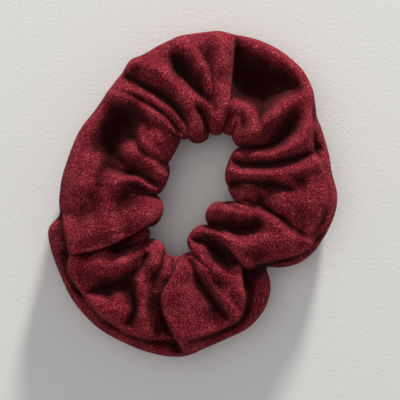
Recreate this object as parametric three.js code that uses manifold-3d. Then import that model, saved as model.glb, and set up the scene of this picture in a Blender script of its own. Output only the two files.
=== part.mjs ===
// A scrunchie: a tube of velvet sewn into a ring and gathered over a loop of flat elastic.
// Millimetres, +Z up. It lies flat on Z = 0, with the origin under the middle of its outline.
//
// The casing is one strip of cloth. It is divided here at its gathers, so that each puff between
// two gathers is a short open tube of its own. The puffs with Y above 0 and those below it part at
// the two gathers on the X axis when the scrunchie is stretched along Y.
import * as THREE from "three";
import { mergeVertices } from "three/addons/utils/BufferGeometryUtils.js";
import Module from "manifold-3d";

// Flat elastic, sewn end over end into a relaxed oval loop that stands on edge in the casing.
const elasticLoopLength = 64;
const elasticLoopWidth = 40;
const longAxisDegrees = 65; // direction of the loop's long axis, anticlockwise from +X
const elasticWidth = 6;
const elasticThickness = 1.2;
const elasticLap = 12;

// Cloth and thread.
const clothThickness = 1.6;
const threadDiameter = 0.6;
const clearance = 0.3; // between any two pieces that touch on the real scrunchie

// The gathers, where the elastic draws the cloth in to its smallest section. The band runs through
// the middle of it.
const elasticRoom = 3.6; // from the middle of the band's thickness to the cloth beside it
const elasticHeadroom = 3.9; // from the band's upper and lower edges to the cloth
const gatherInside = elasticRoom + clothThickness;
const gatherHeight = elasticWidth + 2 * (elasticHeadroom + clothThickness);
const gatherOutsideDrop = 2.2; // how much nearer than the smaller neighbouring puff's outer edge
const elasticAboveTable = gatherHeight / 2; // from the table to the middle of the band

// The puffs, anticlockwise from the gather at firstGatherDegrees. Each has its width round the
// ring, how far its cloth stands inside and outside the elastic, and its height above the table.
const firstGatherDegrees = -25;
const puffs = [
  { degrees: 25, inside: 9, outside: 31.5, height: 25 },
  { degrees: 14, inside: 9, outside: 30.5, height: 24 },
  { degrees: 12, inside: 11, outside: 27.5, height: 25 },
  { degrees: 19, inside: 12, outside: 27, height: 26 },
  { degrees: 27, inside: 7, outside: 30, height: 23 },
  { degrees: 23, inside: 12.5, outside: 30.5, height: 25 },
  { degrees: 20, inside: 6, outside: 30, height: 25 },
  { degrees: 13, inside: 7, outside: 28.5, height: 24 },
  { degrees: 27, inside: 8, outside: 26.5, height: 22 },
  { degrees: 25, inside: 10, outside: 27.5, height: 25 },
  { degrees: 23, inside: 10.5, outside: 30.5, height: 27 },
  { degrees: 19, inside: 9, outside: 30, height: 23 },
  { degrees: 20, inside: 9, outside: 29, height: 22 },
  { degrees: 20, inside: 7, outside: 29, height: 24 },
  { degrees: 20, inside: 14, outside: 30.5, height: 27 },
  { degrees: 16, inside: 11.5, outside: 29.5, height: 25 },
  { degrees: 15, inside: 11.5, outside: 26, height: 22 },
  { degrees: 22, inside: 12.5, outside: 24.5, height: 26 },
];
const closingSeamGather = 5; // the two ends of the cloth tube meet at the end of this puff

const sectionSides = 14; // twice an odd number, which puts an edge and not a corner straight below
const stationDegrees = 5.5; // the most that one step along the ring turns
const threadSides = 6;

const velvet = new THREE.MeshStandardMaterial({ color: 0x6b1420, roughness: 0.95, metalness: 0 });
const elasticWeave = new THREE.MeshStandardMaterial({ color: 0xe8e4dc, roughness: 0.8, metalness: 0 });
const polyesterThread = new THREE.MeshStandardMaterial({ color: 0x4a0d16, roughness: 0.6, metalness: 0 });

const wasm = await Module();
wasm.setup();

const scrunchie = new THREE.Group();
scrunchie.name = "scrunchie";

function addPiece(name, geometry, material) {
  const mesh = new THREE.Mesh(geometry, material);
  mesh.name = name;
  scrunchie.add(mesh);
}

const radians = THREE.MathUtils.degToRad;

// Distance from the ring's middle to the elastic's centreline, for an oval with its long axis at
// longAxisDegrees.
function elasticRadius(degrees) {
  const turn = radians(degrees - longAxisDegrees);
  const along = Math.cos(turn) / (elasticLoopLength / 2);
  const across = Math.sin(turn) / (elasticLoopWidth / 2);
  return 1 / Math.hypot(along, across);
}

// The puffs with their end angles, and the size of the cloth at the gather on each side.
function placePuffs() {
  let at = firstGatherDegrees;
  return puffs.map((puff, i) => {
    const start = at;
    at += puff.degrees;
    const before = puffs[(i + puffs.length - 1) % puffs.length];
    const after = puffs[(i + 1) % puffs.length];
    const gatherOutside = (other) => Math.min(puff.outside, other.outside) - gatherOutsideDrop;
    return { ...puff, start, end: at, outsideBefore: gatherOutside(before), outsideAfter: gatherOutside(after) };
  });
}

// The cloth's size at a share of the way through a puff: a rounded swelling between two gathers.
function clothSize(puff, share) {
  const swell = Math.sin(Math.PI * share) ** 0.6;
  const gathered = THREE.MathUtils.lerp(puff.outsideBefore, puff.outsideAfter, share);
  return {
    inside: THREE.MathUtils.lerp(gatherInside, puff.inside, swell),
    outside: THREE.MathUtils.lerp(gathered, puff.outside, swell),
    height: THREE.MathUtils.lerp(gatherHeight, puff.height, swell),
  };
}

// A corner of the casing's section: a rounded oval from the inner edge to the outer edge, flat where
// it rests on the table, and drawn in by inset on every side. The turn is 0 at the outer edge.
function sectionPoint(degrees, size, turn, inset, slide = 0) {
  const rounded = (value, power) => Math.sign(value) * Math.abs(value) ** power;
  const middle = elasticRadius(degrees) + (size.outside - size.inside) / 2;
  const radius = middle + ((size.outside + size.inside) / 2 - inset) * rounded(Math.cos(turn), 0.8);
  const floor = Math.sin(turn) < -Math.cos(Math.PI / sectionSides) + 1e-6;
  const lift = floor ? -1 : rounded(Math.sin(turn), 0.75);
  const height = size.height / 2 + (size.height / 2 - inset) * lift;
  const angle = radians(degrees);
  return new THREE.Vector3(
    radius * Math.cos(angle) - slide * Math.sin(angle),
    radius * Math.sin(angle) + slide * Math.cos(angle),
    height,
  );
}

// The section's corners. The edge straight below is the puff's flat foot.
function sectionRing(degrees, size, inset, slide = 0) {
  return Array.from({ length: sectionSides }, (_, i) =>
    sectionPoint(degrees, size, (2 * Math.PI * i) / sectionSides, inset, slide),
  );
}

// A closed skin over rings of points, which joins the last ring to the first.
function wrapRings(rings) {
  const sides = rings[0].length;
  const position = [];
  rings.forEach((ring, i) => {
    const next = rings[(i + 1) % rings.length];
    for (let j = 0; j < sides; j++) {
      const k = (j + 1) % sides;
      const [a, b, c, d] = [ring[j], ring[k], next[k], next[j]];
      for (const corner of [a, c, b, a, d, c]) position.push(corner.x, corner.y, corner.z);
    }
  });
  return new THREE.BufferGeometry().setAttribute("position", new THREE.Float32BufferAttribute(position, 3));
}

// The angles that a puff's skin is built on.
function stations(puff) {
  const steps = Math.ceil(puff.degrees / stationDegrees);
  return Array.from({ length: steps + 1 }, (_, i) => i / steps);
}

const angleAt = (puff, share) => THREE.MathUtils.lerp(puff.start, puff.end, share);

// A short tube of cloth, open at both gathers, with half the clearance left at each end.
function puffGeometry(puff) {
  const shell = (share, inset) => {
    const slide = share === 0 ? clearance / 2 : share === 1 ? -clearance / 2 : 0;
    return sectionRing(angleAt(puff, share), clothSize(puff, share), inset, slide);
  };
  const outer = stations(puff).map((share) => shell(share, 0));
  const inner = stations(puff).map((share) => shell(share, clothThickness));
  return wrapRings([...outer, ...inner.reverse()]);
}

// A loop of thread through the given points, each with the two directions that its section spans.
function threadGeometry(points) {
  return wrapRings(
    points.map(({ at, across, up }) =>
      Array.from({ length: threadSides }, (_, i) => {
        const turn = (2 * Math.PI * i) / threadSides;
        return at
          .clone()
          .addScaledVector(across, (Math.cos(turn) * threadDiameter) / 2)
          .addScaledVector(up, (Math.sin(turn) * threadDiameter) / 2);
      }),
    ),
  );
}

// The long seam joins the strip's two edges. It runs all the way round, inside the outer edge.
function longSeamGeometry(placed) {
  const depth = clothThickness + clearance + threadDiameter + clearance + threadDiameter / 2;
  const points = placed.flatMap((puff) =>
    stations(puff)
      .slice(0, -1)
      .map((share) => {
        const degrees = angleAt(puff, share);
        const size = clothSize(puff, share);
        const at = sectionPoint(degrees, size, 0, depth);
        const across = new THREE.Vector3(Math.cos(radians(degrees)), Math.sin(radians(degrees)), 0);
        return { at, across, up: new THREE.Vector3(0, 0, 1) };
      }),
  );
  return threadGeometry(points);
}

// The closing seam joins the tube's two ends. It follows the inside of the cloth round one section.
function closingSeamGeometry(puff) {
  const share = stations(puff).at(-2);
  const degrees = angleAt(puff, share);
  const depth = clothThickness + clearance + threadDiameter / 2;
  const ring = sectionRing(degrees, clothSize(puff, share), depth);
  const middle = ring.reduce((sum, p) => sum.add(p), new THREE.Vector3()).divideScalar(ring.length);
  const backward = new THREE.Vector3(Math.sin(radians(degrees)), -Math.cos(radians(degrees)), 0);
  const points = ring.map((at) => ({ at, across: at.clone().sub(middle).normalize(), up: backward }));
  return threadGeometry(points);
}

// A point beside the elastic's centreline, with positive offsets away from the ring's middle.
function besideElastic(degrees, offset) {
  const radius = elasticRadius(degrees) + offset;
  return new THREE.Vector2(radius * Math.cos(radians(degrees)), radius * Math.sin(radians(degrees)));
}

const lapMiddleDegrees = longAxisDegrees + 180;
const lapHalfDegrees = THREE.MathUtils.radToDeg(elasticLap / 2 / (elasticLoopLength / 2));
const lapStep = (elasticThickness + clearance) / 2; // each end's centreline from the loop's

// The band seen from above: it starts on the inner side of the lap, goes once round and ends on the
// outer side. Its centreline moves from one side to the other in the half turn between.
function elasticGeometry() {
  const first = lapMiddleDegrees - lapHalfDegrees;
  const last = lapMiddleDegrees + 360 + lapHalfDegrees;
  const steps = 72;
  const edge = (side) =>
    Array.from({ length: steps + 1 }, (_, i) => {
      const share = i / steps;
      const drift = THREE.MathUtils.smoothstep(share, 0.2, 0.8) * 2 - 1;
      const degrees = THREE.MathUtils.lerp(first, last, share);
      return besideElastic(degrees, drift * lapStep + (side * elasticThickness) / 2);
    });
  const outline = new THREE.Shape([...edge(1), ...edge(-1).reverse()]);
  const band = new THREE.ExtrudeGeometry(outline, { depth: elasticWidth, bevelEnabled: false, steps: 1 });
  return band.translate(0, 0, elasticAboveTable - elasticWidth / 2);
}

// Where the needle went through the lap: a zigzag of holes from one edge of the band to the other.
const zigzagHoles = 6;
const zigzagInset = 1.4; // from the band's edge to a hole's middle

function zigzagCorners(offset) {
  return Array.from({ length: zigzagHoles }, (_, i) => {
    const reach = lapHalfDegrees * 0.7;
    const degrees = lapMiddleDegrees + THREE.MathUtils.lerp(-reach, reach, i / (zigzagHoles - 1));
    const plan = besideElastic(degrees, offset);
    const lift = (i % 2 ? 1 : -1) * (elasticWidth / 2 - zigzagInset);
    return new THREE.Vector3(plan.x, plan.y, elasticAboveTable + lift);
  });
}

// A straight round bar from one point to another.
function barGeometry(from, to, radius) {
  const bar = new THREE.CylinderGeometry(radius, radius, from.distanceTo(to), 8);
  const direction = to.clone().sub(from).normalize();
  bar.applyQuaternion(new THREE.Quaternion().setFromUnitVectors(new THREE.Vector3(0, 1, 0), direction));
  return bar.translate(...from.clone().add(to).divideScalar(2).toArray());
}

function solidOf(geometry) {
  const bare = geometry.clone();
  bare.deleteAttribute("normal");
  bare.deleteAttribute("uv");
  const merged = mergeVertices(bare, 1e-4);
  return new wasm.Manifold(
    new wasm.Mesh({
      numProp: 3,
      vertProperties: merged.attributes.position.array,
      triVerts: new Uint32Array(merged.index.array),
    }),
  );
}

function geometryOf(solid) {
  const mesh = solid.getMesh();
  const geometry = new THREE.BufferGeometry();
  geometry.setAttribute("position", new THREE.BufferAttribute(mesh.vertProperties, 3));
  geometry.setIndex(new THREE.BufferAttribute(mesh.triVerts, 1));
  return geometry;
}

// A thread that bends at each given point and is cut square at both ends.
function bentThreadGeometry(points) {
  const leg = (i) => points[i + 1].clone().sub(points[i]).normalize();
  const radius = threadDiameter / 2;
  const first = leg(0);
  const side = new THREE.Vector3().crossVectors(first, new THREE.Vector3(0.3, 0.2, 1)).normalize();
  const up = new THREE.Vector3().crossVectors(first, side);
  const rings = [
    Array.from({ length: threadSides }, (_, i) => {
      const turn = (2 * Math.PI * i) / threadSides;
      const spoke = side.clone().multiplyScalar(Math.cos(turn) * radius);
      return spoke.addScaledVector(up, Math.sin(turn) * radius).add(points[0]);
    }),
  ];
  for (let i = 1; i < points.length; i++) {
    const along = leg(i - 1);
    const mitre = i < points.length - 1 ? along.clone().add(leg(i)).normalize() : along;
    rings.push(
      rings[i - 1].map((p) => {
        const reach = points[i].clone().sub(p).dot(mitre) / along.dot(mitre);
        return p.clone().addScaledVector(along, reach);
      }),
    );
  }
  const position = [];
  const face = (...corners) => corners.forEach((p) => position.push(p.x, p.y, p.z));
  for (let i = 0; i < rings.length - 1; i++) {
    for (let j = 0; j < threadSides; j++) {
      const k = (j + 1) % threadSides;
      face(rings[i][j], rings[i][k], rings[i + 1][k]);
      face(rings[i][j], rings[i + 1][k], rings[i + 1][j]);
    }
  }
  for (let j = 1; j < threadSides - 1; j++) {
    face(rings[0][0], rings[0][j + 1], rings[0][j]);
    face(rings.at(-1)[0], rings.at(-1)[j], rings.at(-1)[j + 1]);
  }
  return new THREE.BufferGeometry().setAttribute("position", new THREE.Float32BufferAttribute(position, 3));
}

// The stitches that join the elastic's ends: one thread that zigzags from hole to hole, and goes
// through to the other face of the lap at each of them.
function joinStitchGeometry() {
  const face = lapStep + elasticThickness / 2 + clearance + threadDiameter / 2;
  const outside = zigzagCorners(face);
  const inside = zigzagCorners(-face);
  return bentThreadGeometry(outside.flatMap((at, i) => (i % 2 ? [at, inside[i]] : [inside[i], at])));
}

// The band with a hole for each pass of the needle, a clearance wider than the thread.
function piercedElastic() {
  const through = lapStep + elasticThickness + clearance;
  const outside = zigzagCorners(through);
  const inside = zigzagCorners(-through);
  const holes = outside.map((at, i) => solidOf(barGeometry(at, inside[i], threadDiameter / 2 + clearance)));
  return holes.reduce((band, hole) => band.subtract(hole), solidOf(elasticGeometry()));
}

const placedPuffs = placePuffs();
placedPuffs.forEach((puff, i) => {
  addPiece(`casing_puff_${String(i + 1).padStart(2, "0")}`, puffGeometry(puff), velvet);
});
addPiece("elastic_band", geometryOf(piercedElastic()), elasticWeave);
addPiece("elastic_join_stitches", joinStitchGeometry(), polyesterThread);
addPiece("long_seam_thread", longSeamGeometry(placedPuffs), polyesterThread);
addPiece("closing_seam_thread", closingSeamGeometry(placedPuffs[closingSeamGather - 1]), polyesterThread);

// The origin goes under the middle of the outline.
const outline = new THREE.Box3().setFromObject(scrunchie).getCenter(new THREE.Vector3());
scrunchie.position.set(-outline.x, -outline.y, 0);

export default scrunchie;
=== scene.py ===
"""A velvet scrunchie: one gathered tube of cloth over a loop of flat elastic, with its stitching.

Places in the lists are in millimetres from the middle of the ring, seen from above, with X to the
right and Y up the page. Everything that is built is in metres, in the frame of the part.
"""

import math

import bpy
import numpy as np
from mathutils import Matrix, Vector


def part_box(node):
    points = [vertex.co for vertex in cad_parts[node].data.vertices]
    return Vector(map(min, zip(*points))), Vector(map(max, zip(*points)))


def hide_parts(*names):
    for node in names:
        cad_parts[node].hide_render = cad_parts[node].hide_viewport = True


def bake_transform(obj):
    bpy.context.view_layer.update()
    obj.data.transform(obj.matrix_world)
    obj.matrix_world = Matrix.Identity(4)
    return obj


bl_info = {
    "name": "Scrunchie",
    "version": (1, 0, 0),
    "blender": (4, 5, 0),
    "location": "3D View > Sidebar > Scrunchie",
    "description": "Builds a gathered velvet scrunchie with its elastic and stitching",
    "category": "Add Mesh",
}

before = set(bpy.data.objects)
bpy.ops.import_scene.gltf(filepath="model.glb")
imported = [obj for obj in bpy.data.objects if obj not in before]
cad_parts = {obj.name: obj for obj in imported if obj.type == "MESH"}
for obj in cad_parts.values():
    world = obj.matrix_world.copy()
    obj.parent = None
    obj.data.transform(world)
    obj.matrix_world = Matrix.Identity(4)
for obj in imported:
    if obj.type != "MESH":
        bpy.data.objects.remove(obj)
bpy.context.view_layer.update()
MM = 0.001

CASING_NODES = sorted(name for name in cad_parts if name.startswith("casing_puff"))

# The outer edge of the folded cloth, seen from above, clockwise from the closing seam.
OUTER_EDGE = [
    (15.5, 57.8),
    (23.0, 56.2),
    (30.0, 53.2),
    (36.0, 49.0),
    (40.5, 44.4),
    (43.5, 38.0),
    (44.6, 31.5),
    (45.0, 27.5),
    (46.4, 24.0),
    (48.8, 16.5),
    (50.2, 8.0),
    (52.2, 0.0),
    (51.4, -7.0),
    (48.2, -14.5),
    (43.8, -20.8),
    (38.0, -25.2),
    (31.0, -26.6),
    (26.6, -26.4),
    (27.8, -31.0),
    (27.9, -35.5),
    (26.0, -41.5),
    (20.5, -48.2),
    (12.0, -52.6),
    (4.0, -56.0),
    (-4.0, -59.0),
    (-14.0, -58.0),
    (-25.0, -54.0),
    (-35.0, -48.0),
    (-43.5, -38.5),
    (-48.5, -28.0),
    (-51.6, -19.0),
    (-52.0, -12.5),
    (-48.2, -7.8),
    (-48.1, -3.0),
    (-47.2, 5.0),
    (-44.6, 14.0),
    (-40.5, 23.5),
    (-35.0, 30.8),
    (-29.6, 38.2),
    (-26.0, 43.4),
    (-22.6, 48.4),
    (-18.0, 50.2),
    (-12.0, 53.8),
    (-4.0, 57.2),
    (4.0, 58.6),
    (10.0, 58.8),
]

# The notches of the inner edge, where gathered folds meet, clockwise. Each has the turn from +X,
# in degrees, at which its crease reaches the outer edge, its place, and how far the rounded lobe
# between it and the next notch swells into the hole.
INNER_NOTCHES = [
    (75.0, (11.3, 23.2), 0.7),
    (64.0, (14.6, 21.8), 0.9),
    (32.0, (17.6, 17.1), 2.8),
    (-1.0, (13.2, 2.8), 0.9),
    (-15.0, (16.6, -3.3), 0.6),
    (-21.0, (11.6, -3.2), 3.9),
    (-37.0, (6.3, -11.9), 4.5),
    (-62.0, (-0.2, -21.7), 0.6),
    (-94.0, (-4.7, -23.4), 0.6),
    (-101.0, (-7.4, -23.7), 0.7),
    (-108.0, (-10.4, -22.1), 2.4),
    (-139.0, (-16.8, -17.2), 1.2),
    (-160.0, (-17.1, -12.3), 4.3),
    (-184.0, (-13.7, -0.4), 2.3),
    (-218.0, (-9.3, 11.2), 0.6),
    (-231.0, (-4.5, 20.4), 0.5),
    (-240.0, (-1.6, 20.6), 3.0),
    (-271.0, (6.1, 22.8), 1.3),
]

# Rounded folds: where the crest runs, how far it rises at the start and at the end, and its half
# width.
RIDGES = [
    # Upper right, between the closing seam and the right-hand side.
    ([(14.9, 33.0), (18.5, 32.4), (21.6, 29.8), (22.8, 26.0), (21.5, 22.5)], 4.2, 3.4, 3.0),
    ([(14.5, 21.5), (15.5, 25.0), (16.5, 29.5)], 3.0, 1.5, 1.8),
    ([(16.2, 18.4), (20.7, 20.2), (24.3, 24.7), (29.7, 30.0), (36.0, 34.6), (43.2, 37.3)],
     4.5, 3.0, 3.2),
    ([(15.5, 14.2), (20.7, 14.6), (27.0, 14.2), (33.3, 15.7), (39.0, 19.5), (43.0, 25.0)],
     4.0, 3.0, 2.8),
    ([(14.0, 8.0), (19.8, 6.9), (27.0, 6.9), (33.3, 7.5), (40.5, 9.5), (48.0, 12.5)],
     4.5, 2.5, 3.0),
    ([(13.0, 0.5), (18.0, 1.9), (22.5, 2.0), (27.0, 0.4)], 3.0, 1.0, 1.6),
    ([(16.7, -3.0), (18.9, -0.4), (22.3, -0.8), (25.2, -4.5)], 2.0, 1.5, 1.6),
    ([(34.0, -4.0), (42.0, -3.0), (50.0, -2.0)], 2.0, 1.5, 6.0),
    # Lower right.
    ([(6.0, -6.0), (9.9, -5.4), (16.2, -6.4), (22.5, -7.5), (31.5, -11.5), (42.0, -17.5)],
     5.0, 2.5, 3.0),
    ([(-2.0, -16.6), (0.0, -14.2), (4.5, -12.9), (9.0, -14.2), (13.5, -16.7), (17.0, -20.0)],
     5.5, 3.0, 2.3),
    ([(14.0, -17.5), (20.0, -18.5), (27.0, -17.0), (35.0, -17.5)], 3.5, 3.0, 4.0),
    ([(-1.8, -18.0), (1.0, -20.5), (4.5, -25.5), (9.5, -28.0), (14.5, -31.0), (18.5, -37.5)],
     4.0, 3.0, 3.0),
    ([(0.0, -22.5), (4.5, -31.0), (9.9, -37.4), (14.4, -42.8), (16.0, -45.5)], 2.5, 3.0, 2.2),
    ([(8.5, -31.0), (12.5, -34.5)], 1.2, 1.6, 2.6),
    ([(15.5, -22.0), (20.5, -25.0)], 1.5, 2.5, 2.0),
    # The broad panel at the bottom, and the folds left of it.
    ([(-5.5, -24.0), (-5.5, -33.0), (-3.0, -43.0), (0.0, -52.0)], 3.0, 4.0, 6.5),
    ([(-11.0, -21.5), (-16.0, -25.5), (-19.3, -32.0), (-18.9, -41.9), (-18.0, -50.0)],
     4.0, 3.0, 2.8),
    ([(-37.0, -39.5), (-31.5, -42.5), (-26.0, -43.0)], 3.0, 3.0, 4.5),
    ([(-12.0, -18.6), (-16.2, -20.4), (-21.0, -22.3), (-25.5, -24.8)], 4.5, 2.5, 2.6),
    ([(-13.2, -26.0), (-15.4, -30.0)], 1.6, 1.2, 1.6),
    ([(-43.0, -26.5), (-36.0, -26.0), (-29.0, -28.0)], 3.0, 3.0, 4.2),
    # Left side.
    ([(-11.5, -6.0), (-18.0, -8.5), (-28.0, -11.0), (-42.0, -16.0)], 5.0, 4.0, 6.0),
    ([(-30.0, 2.0), (-38.0, 4.0), (-46.0, 2.0)], 2.5, 2.0, 8.0),
    ([(-28.4, 3.2), (-25.2, 5.3), (-19.8, 4.9), (-15.3, 1.6), (-12.0, 0.6)], 2.5, 3.5, 1.7),
    ([(-25.0, 15.5), (-18.0, 13.5), (-13.0, 9.0), (-9.0, 6.0)], 1.4, 4.0, 2.6),
    ([(-19.0, 24.5), (-19.8, 20.3), (-16.4, 17.0), (-9.5, 11.5)], 3.2, 3.0, 1.8),
    ([(-15.0, 22.5), (-9.5, 17.5)], 2.0, 2.0, 3.2),
    ([(-29.7, 36.8), (-22.5, 34.6), (-15.3, 30.0), (-8.0, 24.7), (-4.8, 20.2)], 3.5, 3.5, 3.2),
    ([(-26.5, 41.0), (-18.5, 37.4), (-10.2, 32.6), (-4.8, 27.8), (-1.5, 22.0)], 1.8, 3.2, 2.4),
    # Top.
    ([(-17.0, 48.0), (-12.5, 45.5), (-8.0, 41.5), (-3.8, 36.5), (-1.0, 31.5), (0.6, 25.0),
      (1.8, 19.0)], 3.0, 4.5, 4.2),
    ([(-5.0, 56.0), (-0.5, 53.6), (3.4, 49.0), (5.7, 43.0), (5.9, 39.0)], 2.5, 4.5, 3.0),
    ([(1.4, 35.3), (4.5, 33.5), (6.8, 30.0), (8.0, 25.0), (8.5, 21.0)], 1.5, 3.5, 1.7),
    ([(9.5, 23.0), (10.5, 32.0), (11.0, 44.0), (10.0, 57.0)], 3.5, 3.5, 3.4),
]

# Sharp valleys: where the cloth is pinched, how deep it is at the start and at the end, and its
# half width.
CREASES = [
    # Upper right.
    ([(18.6, 30.4), (18.2, 27.5), (19.5, 24.4)], 1.6, 1.8, 1.2),
    ([(26.0, 39.0), (25.8, 33.0), (25.0, 28.5), (24.6, 25.5)], 5.0, 4.6, 2.4),
    ([(17.8, 17.1), (22.5, 16.9), (27.9, 17.4), (32.4, 19.3), (36.5, 23.5)], 9.0, 4.0, 1.7),
    ([(15.5, 12.2), (19.8, 10.9), (27.0, 10.8), (36.0, 12.4), (43.2, 14.6), (47.0, 17.0)],
     6.5, 4.5, 1.9),
    ([(13.5, 3.6), (18.0, 4.0), (22.5, 4.2), (29.7, 3.2), (36.0, 1.5)], 6.5, 3.0, 1.6),
    ([(17.0, -3.0), (19.5, -2.4), (21.5, -3.4)], 3.5, 2.0, 1.2),
    # Lower right.
    ([(24.5, -3.5), (31.5, -8.3), (38.7, -14.3), (46.0, -17.0)], 5.5, 2.5, 1.7),
    ([(5.5, -11.0), (11.7, -12.2), (16.8, -14.0), (21.0, -12.6), (24.5, -10.5)], 8.0, 3.5, 1.9),
    ([(0.2, -17.0), (4.5, -17.9), (9.0, -21.0), (13.0, -26.0)], 7.5, 5.2, 1.9),
    ([(1.5, -23.5), (4.0, -27.0)], 2.5, 1.5, 1.0),
    ([(-3.0, -23.5), (0.0, -26.5), (3.6, -33.5), (8.0, -40.0), (12.5, -45.5)], 5.0, 3.5, 1.8),
    ([(15.6, -22.6), (18.8, -24.4)], 1.0, 1.6, 1.0),
    # Lower left.
    ([(-7.2, -23.5), (-8.6, -28.0)], 3.0, 1.0, 0.9),
    ([(-9.3, -23.0), (-11.5, -28.0)], 3.0, 1.0, 0.9),
    ([(-22.9, -34.7), (-21.6, -39.0), (-21.4, -43.5), (-23.4, -47.3)], 5.5, 4.5, 1.7),
    ([(-17.1, -23.0), (-19.5, -28.0), (-24.3, -31.4), (-31.5, -34.8), (-40.0, -36.8)],
     3.8, 4.0, 2.5),
    ([(-17.0, -16.5), (-22.0, -19.3), (-28.0, -21.5)], 3.5, 2.5, 1.5),
    # Left side.
    ([(-22.5, 3.2), (-18.9, 2.3), (-13.0, -0.6)], 2.5, 5.0, 1.1),
    ([(-31.5, 10.3), (-25.0, 7.8), (-20.0, 7.6), (-14.5, 4.6), (-10.0, 2.5)], 4.0, 4.0, 1.9),
    ([(-21.0, 21.0), (-18.0, 16.0), (-13.0, 12.6), (-9.2, 9.6)], 3.0, 3.0, 1.3),
    ([(-30.0, 38.2), (-22.5, 36.5), (-16.2, 33.2), (-9.9, 28.8), (-5.5, 23.5)], 1.5, 4.0, 0.9),
    ([(-25.5, 43.9), (-18.9, 40.0), (-11.7, 36.2), (-6.3, 31.8), (-2.4, 26.0), (-1.0, 20.0)],
     6.5, 5.0, 1.7),
    # Top.
    ([(-3.6, 45.5), (-0.5, 41.0), (3.6, 37.5)], 6.0, 5.0, 2.0),
    ([(1.8, 31.6), (3.8, 28.5), (5.6, 23.0)], 3.5, 5.0, 1.2),
    ([(-0.5, 56.5), (3.6, 52.0), (6.9, 44.5), (7.6, 38.0)], 1.5, 3.0, 1.6),
]

# Broad hollows: the centre, the two radii, the turn of the first one from X in degrees, and the
# depth.
HOLLOWS = [
    ((25.5, 42.5), (15.0, 9.0), -25.0, 11.0),
    ((20.0, 39.5), (5.5, 8.0), 0.0, 5.5),
    ((36.5, 41.5), (6.0, 3.6), -45.0, 3.5),
    ((34.2, 23.4), (6.8, 3.0), 52.0, 4.8),
    ((-28.0, 24.8), (10.5, 7.5), 48.0, 9.0),
    ((-28.0, 13.5), (8.0, 3.4), -35.0, 4.0),
    ((-21.0, 46.0), (4.0, 3.0), 40.0, 2.5),
    ((-4.5, 46.5), (5.5, 3.2), -52.0, 5.5),
    ((-24.5, -2.6), (4.8, 3.4), 10.0, 2.4),
    ((10.0, -20.8), (4.8, 2.2), -40.0, 3.8),
    ((-30.0, -34.0), (8.0, 3.0), 20.0, 1.8),
]

# Where a layer of cloth lies over the next one: the path of its edge, with the lower cloth on the
# right of it, the drop at the start and the end, the reach of the fold and how far it overhangs.
LIPS = [
    ([(10.8, 22.0), (12.2, 27.0), (13.7, 34.0), (14.8, 45.0), (15.9, 59.0)], 3.0, 4.5, 3.5, 0.8),
    ([(-48.4, -6.0), (-47.4, -12.0), (-46.2, -18.0), (-45.4, -21.8), (-42.5, -22.2),
      (-38.0, -21.4), (-31.5, -19.4), (-24.3, -16.0), (-18.0, -12.6), (-14.5, -10.4)],
     1.4, 7.0, 2.8, 1.2),
    ([(-45.5, -22.5), (-46.0, -28.0), (-43.0, -34.0), (-36.5, -42.0), (-27.0, -49.8),
      (-17.0, -53.6), (-7.5, -53.6)], 3.4, 3.0, 2.0, 0.9),
    ([(-5.4, -25.5), (-8.2, -31.5), (-11.7, -38.3), (-9.8, -46.5), (-5.6, -54.4)],
     1.5, 6.5, 3.0, 1.0),
    ([(-5.4, -54.6), (5.0, -52.0), (13.0, -49.0), (17.6, -45.6), (19.4, -40.0), (18.8, -34.0),
      (18.4, -29.0)], 3.6, 6.0, 2.8, 0.8),
    ([(14.0, -21.0), (17.4, -25.2), (20.8, -27.6), (24.6, -26.6), (30.0, -24.6), (36.0, -23.4),
      (42.0, -20.8), (46.5, -15.5)], 4.5, 3.0, 2.2, 0.8),
    ([(44.5, -15.0), (47.2, -9.5), (48.8, -4.5), (49.4, 1.0)], 3.0, 1.6, 2.0, 0.4),
    ([(48.4, 9.0), (46.2, 13.5), (44.6, 18.5), (44.2, 24.0), (44.4, 31.0)], 2.4, 4.2, 1.9, 0.5),
]

# The long seam, pressed to one side, shows as a fine line inside the left outer edge.
SEAM_LINE = [(-41.0, 20.0), (-43.5, 10.0), (-44.3, 0.0), (-44.3, -10.0), (-43.2, -19.0)]

GRID_ROUND = 600  # columns of the cloth's outer face round the ring
GRID_ACROSS = 124  # rows round its section
LONG_SEAM_ROW = -4  # just under the outer edge
CLOSING_SEAM_COLUMN = -125  # at 75 degrees
EDGE_HEIGHT = 10.5  # of the widest place of the section above the table, and of its top above that
CROWN = 10.0
SECTION_FULLNESS = 0.85  # powers that make the section fuller than an ellipse, across it and up
DOME_FULLNESS = 0.62
UNEVENNESS = ((0.45, 9.0, 3), (0.12, 3.6, 5))  # of all the cloth: its height, wavelength and seed
EDGE_FOLD = 0.08  # the share of the folds' height that is left at the outer edge
UNDER_FOLD = 0.6  # and underneath
UNDERSIDE = 1.4  # the height of the plain underside, from which its folds reach down to the table
UNDERSIDE_PIT = 3.6  # the most that a hollow above may lift the underside
HOLLOW_FLOOR = 7.6  # the lowest that a hollow may sink, so that it stays clear of the underside
CREST_START = 17.0  # crests are drawn in from this height, to no more than this far above it
CREST_ROOM = 10.0
WALL_FOLD_ROWS = slice(10, 18)  # the rows whose folds go on down the outer wall
PUCKER_LIMIT = 5.0  # the most that such a fold counts for
PUCKERS = (1.2, 13.0, 11)  # the outer wall's own unevenness: its depth, wavelength and seed
LOBE_REACH = 0.22  # the share of the way to the outer edge over which the inner lobes swell
EDGE_ROLL = 1.1  # how far the smoothing and the pile round off the outer edge, given back to it
VIEW_HEIGHT = 410.0  # the lists are places as seen from this far above the edge
FOLD_SCALES = ((12, 0.5), (160, 2.0))  # passes of smoothing, and the depth that counts as deep
SEAM_RISE = 0.5  # of the long seam's line above the cloth, and its half width
SEAM_HALF_WIDTH = 0.7

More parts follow.
